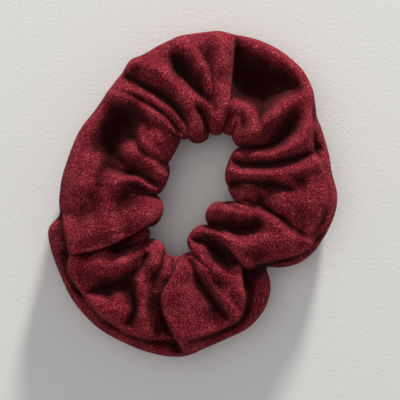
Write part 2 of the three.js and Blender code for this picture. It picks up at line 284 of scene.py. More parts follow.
ELASTIC_LENGTH = 64.0  # the relaxed loop's two diameters, and its turn from +X in degrees
ELASTIC_WIDTH = 40.0
ELASTIC_TURN = 65.0
ELASTIC_HEIGHT = 6.0  # the band's own width, standing on edge, and its thickness
ELASTIC_THICKNESS = 1.2
ELASTIC_RIBS = 6
ELASTIC_LOW, ELASTIC_HIGH = (np.array(corner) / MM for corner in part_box("elastic_band"))
ELASTIC_MIDDLE = (ELASTIC_LOW[:2] + ELASTIC_HIGH[:2]) / 2
ELASTIC_LEVEL = (ELASTIC_LOW[2] + ELASTIC_HIGH[2]) / 2
OVER_ELASTIC = ELASTIC_HIGH[2] + 1.6  # the lowest that the cloth above the band may sink
UNDER_ELASTIC = ELASTIC_LOW[2] - 1.3  # the highest that the cloth below it may rise
BAND_ROOM = 5.0  # how far to either side of the band the cloth is kept clear of it
CEILING_RISE = 6.0  # how much higher the underside may rise away from the band
ELASTIC_LAP = 12.0
LAP_TURN = 245.0
LAP_RAMP = 9.0  # the degrees over which each end of the band steps aside for the other
LAP_ROOM = 0.06
HALF_LAP = math.degrees(ELASTIC_LAP / 2 / (ELASTIC_LENGTH / 2))
ZIGZAG_RISE = 1.6  # of the join stitches above and below the band's middle
ZIGZAG_WAVES = 3.5  # half turns of the sine on either side of the lap's middle

PAINTED_SHADE_IN_FOLD = 0.2  # painted shade and painted highlight: how much of the velvet's colour is left in the deepest fold, and on a crest
PAINTED_HIGHLIGHT_ON_CREST = 2.2
PAINTED_SHADE_POWER = 2.0

THREAD_RADIUS = 0.00020
THREAD_SIDES = 6
STEPS_PER_STITCH = 5

MIX_A, MIX_B, MIX_RESULT = 6, 7, 2  # the colour sockets of a Mix node
PAPER_REACH = 2.0


# ---------------------------------------------------------------------------------------------
# Curves and fields


def catmull_rom(a, b, c, d, t):
    """The cubic from b to c, with t from 0 to 1, that passes evenly on from a and to d."""
    square = 2 * a - 5 * b + 4 * c - d
    cube = 3 * b - a - 3 * c + d
    return 0.5 * (2 * b + (c - a) * t + square * t**2 + cube * t**3)


def smooth_closed(points, samples):
    """A closed Catmull-Rom curve through the points, on even steps of their index."""
    points = np.asarray(points, float)
    count = len(points)
    at = np.arange(samples) * count / samples
    i = np.floor(at).astype(int)
    a, b, c, d = (points[(i + k) % count] for k in (-1, 0, 1, 2))
    return catmull_rom(a, b, c, d, (at - i)[:, None])


def smooth_open(points, per_leg=6):
    """A Catmull-Rom curve through the points, from the first to the last."""
    points = np.asarray(points, float)
    padded = np.vstack([2 * points[0] - points[1], points, 2 * points[-1] - points[-2]])
    t = np.linspace(0, 1, per_leg, endpoint=False)[:, None]
    legs = [catmull_rom(*padded[i : i + 4], t) for i in range(len(points) - 1)]
    return np.vstack(legs + [points[-1:]])


def along(path, place):
    """For each place in the plan: its distance to the path, the share of the path's length that is
    behind its nearest point, its signed distance (positive on the path's right), how far it lies
    beyond either end, and the path's right-hand direction there."""
    path = smooth_open(path)
    leg = path[1:] - path[:-1]
    length = np.hypot(leg[:, 0], leg[:, 1])
    before = np.concatenate([[0], np.cumsum(length)])[:-1]
    flat = place.reshape(-1, 2)
    from_start = flat[:, None, :] - path[None, :-1, :]
    share = np.clip((from_start * leg).sum(2) / length**2, 0, 1)
    gap = from_start - share[..., None] * leg
    distance = np.hypot(gap[..., 0], gap[..., 1])
    nearest = distance.argmin(1)
    row = np.arange(len(flat))
    right = np.stack([leg[:, 1], -leg[:, 0]], 1) / length[:, None]
    near = distance[row, nearest]
    square = (gap[row, nearest] * right[nearest]).sum(1)
    travelled = (before[nearest] + share[row, nearest] * length[nearest]) / length.sum()
    off_the_end = (travelled <= 0) | (travelled >= 1)
    signed = np.where(off_the_end, square, np.sign(square) * near)
    beyond = np.where(off_the_end, np.sqrt(np.maximum(near**2 - square**2, 0)), 0)
    shape = place.shape[:-1]
    return (
        near.reshape(shape),
        travelled.reshape(shape),
        signed.reshape(shape),
        beyond.reshape(shape),
        right[nearest].reshape(*shape, 2),
    )


def within(place, points, reach):
    """Which places lie in the points' box, widened by reach."""
    points = np.asarray(points, float)
    low = points.min(0) - reach
    high = points.max(0) + reach
    return ((place > low) & (place < high)).all(-1)


def mix(a, b, share):
    return a + (b - a) * share


def ripple(place, wavelength, seed, waves=24):
    """Smooth unevenness from -1 to 1 or so: the sum of plane waves of about one length, in
    directions and phases drawn from the seed."""
    rng = np.random.default_rng(seed)
    turn = rng.uniform(0, 2 * math.pi, waves)
    tilt = rng.uniform(-1, 1, waves)
    number = 2 * math.pi / (wavelength * rng.uniform(0.75, 1.4, waves))
    level = np.sqrt(1 - tilt**2)
    wave = np.stack([np.cos(turn) * level, np.sin(turn) * level, tilt], 1) * number[:, None]
    phase = rng.uniform(0, 2 * math.pi, waves)
    return np.sin(place @ wave.T + phase).sum(-1) / math.sqrt(waves)


def fold_height(plan):
    """How far the cloth rises above its plain ring, in millimetres, at each place in the plan:
    each ridge adds rise * exp(-(distance / width)^2), each crease takes away a cusp,
    depth * exp(-distance / width), and each hollow takes away depth * exp(-(ellipse radius)^2)."""
    height = np.zeros(plan.shape[:-1])
    for path, start, end, width in RIDGES:
        inside = within(plan, path, 3 * width)
        distance, share, _, _, _ = along(path, plan[inside])
        height[inside] += mix(start, end, share) * np.exp(-((distance / width) ** 2))
    for path, start, end, width in CREASES:
        inside = within(plan, path, 5 * width)
        distance, share, _, _, _ = along(path, plan[inside])
        soft = np.sqrt(distance**2 + 0.25**2)
        height[inside] -= mix(start, end, share) * np.exp(-soft / width)
    for centre, radii, turn, depth in HOLLOWS:
        offset = plan - np.array(centre)
        c, s = math.cos(math.radians(turn)), math.sin(math.radians(turn))
        long = (offset[..., 0] * c + offset[..., 1] * s) / radii[0]
        short = (offset[..., 1] * c - offset[..., 0] * s) / radii[1]
        height -= depth * np.exp(-(long**2 + short**2))
    inside = within(plan, SEAM_LINE, 4)
    _, share, signed, _, _ = along(SEAM_LINE, plan[inside])
    fade = np.sqrt(np.clip(np.sin(math.pi * share), 0, 1))
    height[inside] += SEAM_RISE * np.exp(-((signed / SEAM_HALF_WIDTH) ** 2)) * fade
    return height


def lip_shift(plan):
    """What the overlapping edges do: the height that each adds, and how far it pushes the cloth
    sideways. The upper cloth swells towards its edge and then drops steeply, and near the edge it
    is pushed out over the lower cloth, which is pushed back under it."""
    height = np.zeros(plan.shape[:-1])
    push = np.zeros(plan.shape)
    for path, start, end, reach, overhang in LIPS:
        inside = within(plan, path, 5 * reach)
        distance, share, signed, beyond, right = along(path, plan[inside])
        drop = mix(start, end, share)
        fade = np.exp(-((beyond / reach) ** 2))
        step = 0.5 * np.tanh(signed / 0.55) + 0.5
        swell = 0.35 * (1 - step) * np.exp(-distance / reach)
        fall = 0.75 * step * np.exp(-distance / (2.2 * reach))
        height[inside] += fade * drop * (swell - fall)
        lean = -np.tanh(signed / 0.6) * np.exp(-((signed / (0.6 * reach)) ** 2))
        push[inside] += right * (fade * lean * overhang)[..., None]
    return height, push


def smooth_grid(values, passes, amount=0.5):
    """Each point moves part of the way to the mean of its four neighbours, on a grid closed both
    ways."""
    for _ in range(passes):
        mean = sum(np.roll(values, step, axis) for axis in (0, 1) for step in (-1, 1)) / 4
        values = mix(values, mean, amount)
    return values


def smooth_loop(path, passes):
    """Each point of a closed path moves half way to the mean of its two neighbours."""
    for _ in range(passes):
        path = mix(path, (np.roll(path, 1, 0) + np.roll(path, -1, 0)) / 2, 0.5)
    return path


def grid_normals(grid):
    """Unit normals of a surface on a grid closed both ways, by central differences."""
    across = np.roll(grid, -1, 1) - np.roll(grid, 1, 1)
    round_ring = np.roll(grid, -1, 0) - np.roll(grid, 1, 0)
    normal = np.cross(across, round_ring)
    return normal / np.linalg.norm(normal, axis=2, keepdims=True)


def fold_depth(grid, normal):
    """How deep each point lies in a fold, from -1 on a crest to 1 in a hollow: its distance below
    the same surface smoothed over a few millimetres and over about a centimetre, along its
    normal."""
    depth = 0
    for passes, scale in FOLD_SCALES:
        smooth = smooth_grid(grid, passes, 0.9)
        depth = depth + ((smooth - grid) * normal).sum(2) / (scale * MM)
    return np.tanh(depth)


def outer_edge(turns):
    """The outer edge at each turn from +X: the smooth closed curve through its points, read by
    turn."""
    curve = smooth_closed(OUTER_EDGE, 20 * len(OUTER_EDGE))
    turn = np.unwrap(np.arctan2(curve[:, 1], curve[:, 0]))
    radius = np.hypot(curve[:, 0], curve[:, 1])
    order = np.argsort(turn)
    reach = np.interp(turns, turn[order], radius[order], period=2 * math.pi) + EDGE_ROLL
    return np.stack([reach * np.cos(turns), reach * np.sin(turns)], 1)


def inner_edge(turns):
    """The inner edge: between two notches, the straight line between them plus the lobe's swell to
    the hole's side times (1 - |2 share - 1|^2.4)^0.6. Also that rounding, and each lobe's width."""
    start = np.radians([notch[0] for notch in INNER_NOTCHES])
    place = np.array([notch[1] for notch in INNER_NOTCHES])
    swell = np.array([notch[2] for notch in INNER_NOTCHES])
    after = np.append(start[1:], start[0] - 2 * math.pi)
    chord = np.roll(place, -1, 0) - place
    width = np.linalg.norm(chord, axis=1)
    into_hole = np.stack([chord[:, 1], -chord[:, 0]], 1) / width[:, None]
    clockwise = start[0] - np.mod(start[0] - turns, 2 * math.pi)
    lobe = (clockwise[:, None] <= start[None, :]).sum(1) - 1
    share = (start[lobe] - clockwise) / (start[lobe] - after[lobe])
    rounding = (1 - np.abs(2 * share - 1) ** 2.4) ** 0.6
    straight = place[lobe] + share[:, None] * chord[lobe]
    edge = straight + (swell[lobe] * rounding)[:, None] * into_hole[lobe]
    return edge, rounding, width[lobe]


def elastic_radius(ray):
    """From the loop's middle to the band's centreline, an ellipse, along each ray in the plan:
    1 / hypot(cos / (length / 2), sin / (width / 2))."""
    turn = np.arctan2(ray[..., 1], ray[..., 0]) - math.radians(ELASTIC_TURN)
    return 1 / np.hypot(np.cos(turn) / (ELASTIC_LENGTH / 2), np.sin(turn) / (ELASTIC_WIDTH / 2))


def no_lower(height, floor, rounding):
    """The higher of the two, with the corner between them rounded: a hyperbola for the maximum."""
    return (height + floor + np.hypot(height - floor, rounding)) / 2


def no_higher(height, ceiling, rounding):
    """The lower of the two, rounded in the same way."""
    return (height + ceiling - np.hypot(height - ceiling, rounding)) / 2


def casing_surface():
    """The cloth's outer face in metres, as a grid [round the ring, round the section].

    The plain ring is a section carried round between the inner and the outer edge. For the turn w
    round the section, from 0 at the outer edge over the top, a point is the share
    (1 + sign(cos w) |cos w|^0.85) / 2 of the way from the inner to the outer edge, and its height
    is the edge's height plus the crown's times |sin w|^0.62. Then the folds move it along the
    section's own normal. A floor under the top and a ceiling over the underside keep both clear of
    the elastic, and hollows clear of the underside."""
    turns = -np.arange(GRID_ROUND) * 2 * math.pi / GRID_ROUND
    inner, rounding, width = inner_edge(turns)
    outer = outer_edge(turns)
    outward = (outer - inner) / np.linalg.norm(outer - inner, axis=1, keepdims=True)
    turn = np.linspace(0, 2 * math.pi, GRID_ACROSS, endpoint=False)
    c, s = np.cos(turn), np.sin(turn)
    top = s > 0
    share = (1 + np.sign(c) * np.abs(c) ** SECTION_FULLNESS) / 2
    plan = inner[:, None, :] + (outer - inner)[:, None, :] * share[None, :, None]
    dome = np.abs(s) ** DOME_FULLNESS
    base = np.where(top, EDGE_HEIGHT + CROWN * dome, EDGE_HEIGHT - (EDGE_HEIGHT - UNDERSIDE) * dome)
    height = np.broadcast_to(base, plan.shape[:2]).copy()

    fold = fold_height(plan)
    step, push = lip_shift(plan)
    space = np.dstack([plan, height])
    fold += sum(rise * ripple(space, wavelength, seed) for rise, wavelength, seed in UNEVENNESS)

    # The folds are full on top and less underneath, and they fade towards the outer edge.
    up = np.clip(s, 0, 1) ** 0.5
    at_edge = np.where(c > 0, EDGE_FOLD, 0.0)
    amount = np.where(top, mix(at_edge, 1.0, up), mix(at_edge, UNDER_FOLD, np.abs(s) ** 0.5))
    shallow = np.where(fold < 0, -UNDERSIDE_PIT * np.tanh(-fold / UNDERSIDE_PIT), fold)
    fold = np.where(top, fold, shallow) * amount

    # They move the cloth up on top, down underneath, and to the side at the section's two edges.
    lift = np.where(top, np.abs(s) ** 0.6, -0.8 * np.abs(s) ** 0.6)
    side = np.abs(c) ** 3 * np.where(c > 0, 0.45, 0.15)
    height += fold * lift + step * np.where(top, np.abs(s) ** 0.35, 0)
    plan = plan + push * up[None, :, None] + (outward[:, None, :] * (fold * c * side)[..., None])

    from_middle = plan - ELASTIC_MIDDLE
    from_band = np.abs(np.linalg.norm(from_middle, axis=2) - elastic_radius(from_middle))
    at_band = np.exp(-((from_band / BAND_ROOM) ** 4))
    floor = np.maximum(OVER_ELASTIC * at_band, HOLLOW_FLOOR)
    height = np.where(top, no_lower(height, floor, 1.2), height)

    # The folds go on down the outer wall as puckers, which only draw it in.
    pucker = smooth_loop(np.clip(fold[:, WALL_FOLD_ROWS].mean(1), -PUCKER_LIMIT, PUCKER_LIMIT), 4)
    depth, wavelength, seed = PUCKERS
    pucker += depth * ripple(np.c_[outer, outer[:, 0]], wavelength, seed) - 1.0
    wall = np.where((c > 0) & ~top, np.abs(np.sin(2 * turn)) ** 0.8, 0)
    drawn_in = np.minimum(0.55 * pucker, 0)[:, None] * wall[None, :]
    plan = plan + outward[:, None, :] * drawn_in[..., None]

    # By the hole, each lobe between two notches swells up and down.
    near_hole = np.exp(-((share / LOBE_REACH) ** 2))
    puff = np.minimum(0.4 * width, 3.0) * (rounding - 0.8)
    swell = np.where(top, np.abs(s) ** 0.5, -0.9 * np.abs(s) ** 0.5)
    height += puff[:, None] * (near_hole * swell)[None, :]

    ceiling = UNDER_ELASTIC + CEILING_RISE * (1 - at_band)
    height = np.where(top, height, no_higher(height, ceiling, 0.8))
    over = np.maximum(height - CREST_START, 0)
    height = height - over + CREST_ROOM * np.tanh(over / CREST_ROOM)
    grid = smooth_grid(np.dstack([plan, height]), 2)

    # Higher cloth looks larger from above, so it is drawn in to where it really is.
    grid[..., :2] *= 1 - (grid[..., 2:] - EDGE_HEIGHT) / VIEW_HEIGHT
    grid[..., 2] = np.maximum(grid[..., 2], 0)
    return grid * MM


# ---------------------------------------------------------------------------------------------
# Meshes


def closed_faces(rows, columns, flip=False):
    """The four corners of each face of a grid that is closed both ways, as an array."""
    index = np.arange(rows * columns).reshape(rows, columns)
    a, b = index, np.roll(index, -1, 0)
    c, d = np.roll(b, -1, 1), np.roll(a, -1, 1)
    order = (a, b, c, d) if flip else (a, d, c, b)
    return np.stack([corner.ravel() for corner in order], 1)


def mesh_object(name, vertices, faces, material, **values):
    """A smooth-shaded object at the origin, with its place in its mesh, and any named values per
    vertex. The faces are a list of arrays, each with one row of corners for every face."""
    corners = np.concatenate([part.ravel() for part in faces]).astype(np.int32)
    sides = np.concatenate([np.full(len(part), part.shape[1]) for part in faces])
    mesh = bpy.data.meshes.new(name)
    mesh.vertices.add(len(vertices))
    mesh.vertices.foreach_set("co", np.asarray(vertices, np.float32).ravel())
    mesh.loops.add(len(corners))
    mesh.loops.foreach_set("vertex_index", corners)
    mesh.polygons.add(len(sides))
    mesh.polygons.foreach_set("loop_start", (np.cumsum(sides) - sides).astype(np.int32))
    mesh.polygons.foreach_set("use_smooth", np.ones(len(sides), bool))
    mesh.update(calc_edges=True)
    for label, numbers in values.items():
        layer = mesh.attributes.new(label, "FLOAT", "POINT")
        layer.data.foreach_set("value", np.asarray(numbers, np.float32).ravel())
    mesh.materials.append(material)
    piece = bpy.data.objects.new(name, mesh)
    bpy.context.scene.collection.objects.link(piece)
    return piece


def capped_faces(rows, columns):
    """The faces of a strip whose section is closed and whose two ends are not: its sides, and at
    each end a fan to a middle vertex. The two middle vertices come after the grid's."""
    side = closed_faces(rows, columns).reshape(rows, columns, 4)[:-1].reshape(-1, 4)
    first = np.arange(columns)
    last = first + (rows - 1) * columns
    start = np.stack([np.full(columns, rows * columns), first, np.roll(first, -1)], 1)
    end = np.stack([np.full(columns, rows * columns + 1), np.roll(last, -1), last], 1)
    return [side, np.vstack([start, end])]


def casing_mesh(name, material, thickness):
    """The cloth as a shell: its outer face, and inside it a face with half as many rows and
    columns, one cloth thickness in along the normals."""
    outer = casing_surface()
    normal = grid_normals(outer)
    inner = (outer - normal * thickness)[::2, ::2]
    rows, columns = outer.shape[:2]
    faces = np.vstack(
        [
            closed_faces(rows, columns),
            closed_faces(rows // 2, columns // 2, flip=True) + rows * columns,
        ]
    )
    vertices = np.vstack([outer.reshape(-1, 3), inner.reshape(-1, 3)])
    # The fold depth per vertex, which the velvet turns into painted shade in the folds and a
    # painted highlight on the crests.
    folded = fold_depth(outer, normal)
    folded = np.concatenate([folded.ravel(), folded[::2, ::2].ravel()])
    return mesh_object(name, vertices, [faces], material, fold_depth=folded)


def tube_along(path, radius, sides):
    """A round tube along a closed path: at each point a circle in the plane square to the path, as
    a grid [along the path, round the tube]. The circle starts level and square to the path."""
    ahead = np.roll(path, -1, 0) - np.roll(path, 1, 0)
    ahead /= np.linalg.norm(ahead, axis=1, keepdims=True)
    across = np.cross(ahead, [0.03, 0.05, 1.0])
    across /= np.linalg.norm(across, axis=1, keepdims=True)
    up = np.cross(across, ahead)
    turn = np.linspace(0, 2 * math.pi, sides, endpoint=False)[None, :, None]
    circle = np.cos(turn) * across[:, None, :] + np.sin(turn) * up[:, None, :]
    return path[:, None, :] + radius * circle


def even_steps(path, samples):
    """The closed path at even steps of its length, and that length."""
    closed = np.vstack([path, path[:1]])
    travelled = np.concatenate([[0], np.cumsum(np.linalg.norm(np.diff(closed, axis=0), axis=1))])
    at = np.arange(samples) * travelled[-1] / samples
    stepped = np.stack([np.interp(at, travelled, closed[:, axis]) for axis in range(3)], 1)
    return stepped, travelled[-1]


def lockstitch(name, path, side, material):
    """Machine stitching along a closed path: two threads wound round each other, each a tube on
    the path plus a small circle that turns once in each stitch, half a turn apart. side is the
    direction of that circle's first arm at each point."""
    stitches = round(len(path) / STEPS_PER_STITCH)
    turn = np.arange(len(path)) * 2 * math.pi * stitches / len(path)
    up = np.cross(np.roll(path, -1, 0) - np.roll(path, 1, 0), side)
    up /= np.linalg.norm(up, axis=1, keepdims=True)
    vertices, faces = [], []
    for half in (0, math.pi):
        arm = np.cos(turn + half)[:, None] * side + 0.6 * np.sin(turn + half)[:, None] * up
        strand = tube_along(path + THREAD_RADIUS * arm, THREAD_RADIUS * 0.9, THREAD_SIDES)
        faces.append(closed_faces(*strand.shape[:2]) + sum(map(len, vertices)))
        vertices.append(strand.reshape(-1, 3))
    return mesh_object(name, np.vstack(vertices), [np.vstack(faces)], material)


def seam_thread(name, line, stitch_length, material):
    """A row of lockstitch along a closed line under the cloth, with the line's small bends
    smoothed away."""
    smooth = smooth_loop(line, 6)
    _, length = even_steps(smooth, 10)
    path, _ = even_steps(smooth, round(length / stitch_length) * STEPS_PER_STITCH)
    ahead = np.roll(path, -1, 0) - np.roll(path, 1, 0)
    side = np.cross(ahead, path - path.mean(0))
    side /= np.linalg.norm(side, axis=1, keepdims=True)
    return lockstitch(name, path, side, material)


def elastic_point(degrees, offset, lift):
    """Points beside the band's centreline, offset outwards and lifted, in millimetres."""
    turn = np.radians(degrees)
    ray = np.stack([np.cos(turn), np.sin(turn)], -1)
    reach = elastic_radius(ray) + offset
    place = (
        ELASTIC_MIDDLE[0] + reach * ray[..., 0],
        ELASTIC_MIDDLE[1] + reach * ray[..., 1],
        ELASTIC_LEVEL + lift,
    )
    return np.stack(np.broadcast_arrays(*place), -1)


def ease(share):
    """3 share^2 - 2 share^3: from 0 to 1, level at both ends."""
    return share**2 * (3 - 2 * share)


def elastic_mesh(name, material):
    """The flat braided band: a strip a little longer than the loop, so that its ends lie over each
    other. The section is a superellipse, |x / a|^4 + |z / b|^4 = 1, whose thickness is drawn in by
    |cos| grooves between the ribs. The first layer of the lap is inside and the last outside."""
    start = LAP_TURN - HALF_LAP
    end = LAP_TURN + HALF_LAP + 360
    degrees = np.linspace(start, end, 420)
    inside = 1 - np.clip((degrees - start - 2 * HALF_LAP) / LAP_RAMP, 0, 1)
    outside = 1 - np.clip((end - 2 * HALF_LAP - degrees) / LAP_RAMP, 0, 1)
    layer = (ELASTIC_THICKNESS / 2 + LAP_ROOM) * (ease(outside) - ease(inside))
    turn = np.linspace(0, 2 * math.pi, 64, endpoint=False)
    c, s = np.cos(turn), np.sin(turn)
    lift = ELASTIC_HEIGHT / 2 * np.sign(s) * np.abs(s) ** 0.5
    ribs = 0.86 + 0.14 * np.abs(np.cos(math.pi * ELASTIC_RIBS * (lift / ELASTIC_HEIGHT + 0.5)))
    offset = ELASTIC_THICKNESS / 2 * np.sign(c) * np.abs(c) ** 0.5 * ribs
    grid = elastic_point(degrees[:, None], layer[:, None] + offset[None, :], lift[None, :])
    middles = elastic_point(degrees[[0, -1]], layer[[0, -1]], 0.0)
    step = np.linalg.norm(np.diff(grid[:, 0], axis=0), axis=1)
    along_band = np.concatenate([[0], np.cumsum(step)])
    return mesh_object(
        name,
        np.vstack([grid.reshape(-1, 3), middles]) * MM,
        capped_faces(len(degrees), len(turn)),
        material,
        along=np.append(np.repeat(along_band, len(turn)), along_band[[0, -1]]),
        across=np.append(np.tile(lift, len(degrees)), [0, 0]),
    )


def join_stitch_path():
    """The zigzag that holds the lapped ends: out along the outer face and back along the inner
    face, up and down by a triangle wave with rounded points, asin(0.96 sin) / asin(0.96)."""
    steps = np.linspace(-1, 1, 90)
    wave = np.arcsin(0.96 * np.sin(ZIGZAG_WAVES * math.pi * steps)) / math.asin(0.96)
    face = 1.5 * ELASTIC_THICKNESS / 2 + 0.75
    outer = elastic_point(LAP_TURN + 0.8 * HALF_LAP * steps, face, ZIGZAG_RISE * wave)
    inner = elastic_point(LAP_TURN + 0.8 * HALF_LAP * steps[::-1], -face, ZIGZAG_RISE * wave[::-1])
    return np.vstack([outer, inner]) * MM


# ---------------------------------------------------------------------------------------------
# Materials


def new_material(name):
    material = bpy.data.materials.new(name)
    material.use_nodes = True
    tree = material.node_tree
    return material, tree, tree.nodes["Principled BSDF"]


def new_group(name, inputs, outputs):
    """An empty shader node group. Each input has a name, a socket type and a default, and each
    output a name and a socket type."""
    tree = bpy.data.node_groups.new(name, "ShaderNodeTree")
    for label, kind, default in inputs:
        socket = tree.interface.new_socket(label, in_out="INPUT", socket_type=kind)
        socket.default_value = default
    for label, kind in outputs:
        tree.interface.new_socket(label, in_out="OUTPUT", socket_type=kind)
    return tree, tree.nodes.new("NodeGroupInput"), tree.nodes.new("NodeGroupOutput")


def add_node(tree, kind, links=None, **settings):
    """A node with its properties set, and its inputs linked or given a value by name or number."""
    node = tree.nodes.new(kind)
    for key, value in settings.items():
        setattr(node, key, value)
    for key, value in (links or {}).items():
        if isinstance(value, bpy.types.NodeSocket):
            tree.links.new(value, node.inputs[key])
        else:
            node.inputs[key].default_value = value
    return node


def noise(tree, place, scale, detail, roughness=0.5):
    """Noise from 0 to 1."""
    values = {"Vector": place, "Scale": scale, "Detail": detail, "Roughness": roughness}
    return add_node(tree, "ShaderNodeTexNoise", values).outputs["Fac"]


def spread(tree, value, low, high):
    """The value drawn out, so that it goes from 0 at low to 1 at high and is cut off there."""
    values = {"Value": value, "From Min": low, "From Max": high}
    return add_node(tree, "ShaderNodeMapRange", values).outputs[0]


def mix_values(tree, share, a, b):
    values = {"Factor": share, "A": a, "B": b}
    return add_node(tree, "ShaderNodeMix", values, data_type="FLOAT").outputs[0]


def mix_colours(tree, share, a, b):
    values = {"Factor": share, MIX_A: a, MIX_B: b}
    return add_node(tree, "ShaderNodeMix", values, data_type="RGBA").outputs[MIX_RESULT]


def calculate(tree, operation, *values):
    """One sum of the named kind on the values."""
    return add_node(tree, "ShaderNodeMath", dict(enumerate(values)), operation=operation).outputs[0]


def set_bump(tree, shader, height, strength, distance):
    values = {"Height": height, "Strength": strength, "Distance": distance}
    bump = add_node(tree, "ShaderNodeBump", values)
    tree.links.new(bump.outputs["Normal"], shader.inputs["Normal"])


def set_shader(shader, values):
    for label, value in values.items():
        shader.inputs[label].default_value = value


def shade_of(colour, light):
    """The colour made darker or lighter, with its alpha."""
    return (*[light * channel for channel in colour], 1)


def pile_group():
    """Short velvet pile: clumps of fibre at two sizes and single bright fibres, as a shade from 0
    to 1, a height for bump, and where the bright fibres are."""
    tree, given, result = new_group(
        "velvet_pile",
        [
            ("Vector", "NodeSocketVector", (0, 0, 0)),
            ("Clump", "NodeSocketFloat", 1600.0),
            ("Fibre", "NodeSocketFloat", 4000.0),
        ],
        [(label, "NodeSocketFloat") for label in ("Shade", "Height", "Lint")],
    )
    place = given.outputs["Vector"]
    clump = noise(tree, place, given.outputs["Clump"], 4.0, 0.75)
    fibre = noise(tree, place, given.outputs["Fibre"], 2.0, 0.6)
    patch = noise(tree, place, 190.0, 3.0, 0.6)
    clumps = spread(tree, clump, 0.38, 0.64)
    fibres = spread(tree, fibre, 0.36, 0.68)
    patches = spread(tree, patch, 0.3, 0.7)
    both = mix_values(tree, 0.45, clumps, fibres)
    shade = mix_values(tree, 0.17, both, patches)
    lint = spread(tree, noise(tree, place, 1500.0, 1.0), 0.68, 0.78)
    tree.links.new(shade, result.inputs["Shade"])
    tree.links.new(lint, result.inputs["Lint"])
    tree.links.new(both, result.inputs["Height"])
    return tree


def velvet_material(colours):
    """Wine-red velvet: dark between the fibres and pinker at their tips, with a soft sheen. The
    colour also has painted shade in the folds and a painted highlight on the crests, by the cloth's
    fold_depth."""
    material, tree, shader = new_material("velvet")
    place = add_node(tree, "ShaderNodeTexCoord").outputs["Object"]
    pile = add_node(tree, "ShaderNodeGroup", node_tree=pile_group())
    tree.links.new(place, pile.inputs["Vector"])
    ramp = add_node(tree, "ShaderNodeValToRGB", {"Fac": pile.outputs["Shade"]})
    ramp.color_ramp.elements[0].position = 0.12
    ramp.color_ramp.elements[0].color = (*colours.velvet_deep, 1)
    ramp.color_ramp.elements[1].position = 0.9
    ramp.color_ramp.elements[1].color = (*colours.velvet_tip, 1)
    ramp.color_ramp.elements.new(0.5).color = (*colours.velvet, 1)
    folded = add_node(tree, "ShaderNodeAttribute", attribute_name="fold_depth").outputs["Fac"]
    flecked = mix_colours(tree, pile.outputs["Lint"], ramp.outputs["Color"], (*colours.lint, 1))
    # Painted shade and painted highlight: the colour is darkened in the folds and lightened on the
    # crests by fold depth, in place of light.
    painted_light_share = calculate(tree, "POWER", spread(tree, folded, 1.0, -1.0), PAINTED_SHADE_POWER)
    to_light = {"Value": painted_light_share, "To Min": PAINTED_SHADE_IN_FOLD, "To Max": PAINTED_HIGHLIGHT_ON_CREST}
    light = add_node(tree, "ShaderNodeMapRange", to_light).outputs[0]
    scale = {0: flecked, "Scale": light}
    shaded = add_node(tree, "ShaderNodeVectorMath", scale, operation="SCALE")
    tree.links.new(shaded.outputs[0], shader.inputs["Base Color"])
    set_bump(tree, shader, pile.outputs["Height"], 0.8, 0.0005)
    values = {"Roughness": 0.95, "Specular IOR Level": 0.02, "Sheen Weight": 0.1}
    values.update({"Sheen Roughness": 0.45, "Sheen Tint": (*colours.sheen, 1)})
    set_shader(shader, values)
    return material


def thread_material(colour):
    """Spun thread: a flat colour broken by fine noise, and a soft shine."""
    material, tree, shader = new_material("thread")
    place = add_node(tree, "ShaderNodeTexCoord").outputs["Object"]
    spun = noise(tree, place, 2500.0, 3.0)
    shade = mix_colours(tree, spun, shade_of(colour, 0.6), shade_of(colour, 1.4))
    tree.links.new(shade, shader.inputs["Base Color"])
    set_shader(shader, {"Roughness": 0.6})
    return material


def elastic_material(colour):
    """Braided elastic: two families of yarns that cross, |sin(along + across)| over
    |sin(along - across)|, dark between them and with a low shine."""
    material, tree, shader = new_material("elastic")
    lengthways = add_node(tree, "ShaderNodeAttribute", attribute_name="along").outputs["Fac"]
    sideways = add_node(tree, "ShaderNodeAttribute", attribute_name="across").outputs["Fac"]
    yarns = []
    for operation in ("ADD", "SUBTRACT"):
        slant = calculate(tree, operation, lengthways, sideways)
        wave = calculate(tree, "SINE", calculate(tree, "MULTIPLY", slant, 4.2))
        yarns.append(calculate(tree, "ABSOLUTE", wave))
    braid = calculate(tree, "MAXIMUM", *yarns)
    shade = mix_colours(tree, braid, shade_of(colour, 0.45), (*colour, 1))
    tree.links.new(shade, shader.inputs["Base Color"])
    set_bump(tree, shader, braid, 0.6, 0.0002)
    set_shader(shader, {"Roughness": 0.75})
    return material


# ---------------------------------------------------------------------------------------------
# The stage


def paper_material(colour):
    """Matt paper with a faint tooth."""
    material, tree, shader = new_material("paper")
    place = add_node(tree, "ShaderNodeTexCoord").outputs["Object"]
    set_bump(tree, shader, noise(tree, place, 900.0, 5.0, 0.6), 0.35, 0.0003)
    set_shader(shader, {"Base Color": (*colour, 1), "Roughness": 0.9, "Specular IOR Level": 0.2})
    return material


def area_light(name, place, size, power, colour):
    """A round lamp at the place, turned to the middle of the ring."""
    light = bpy.data.lights.new(name, "AREA")
    light.shape = "DISK"
    light.size = size
    light.energy = power
    light.color = colour
    lamp = bpy.data.objects.new(name, light)
    lamp.location = place
    lamp.rotation_euler = (-Vector(place)).to_track_quat("-Z", "Y").to_euler()
    bpy.context.scene.collection.objects.link(lamp)


# ---------------------------------------------------------------------------------------------
# The add-on


class ScrunchieSizes(bpy.types.PropertyGroup):
    """Sizes that a maker would change."""

    cloth_thickness: bpy.props.FloatProperty(
        name="Cloth thickness", description="Velvet with its pile",
        default=0.0010, unit="LENGTH",
    )
    stitch_length: bpy.props.FloatProperty(
        name="Stitch length", description="Of the two seams in the casing",
        default=0.0025, unit="LENGTH",
    )
    strip_width: bpy.props.FloatProperty(
        name="Strip width",
        description="Flat width of the strip inside its seam allowances, round the tube",
        default=0.092, unit="LENGTH",
    )
    strip_length: bpy.props.FloatProperty(
        name="Strip length",
        description="Flat length of the strip inside its seam allowances, before gathering",
        default=0.38, unit="LENGTH",
    )


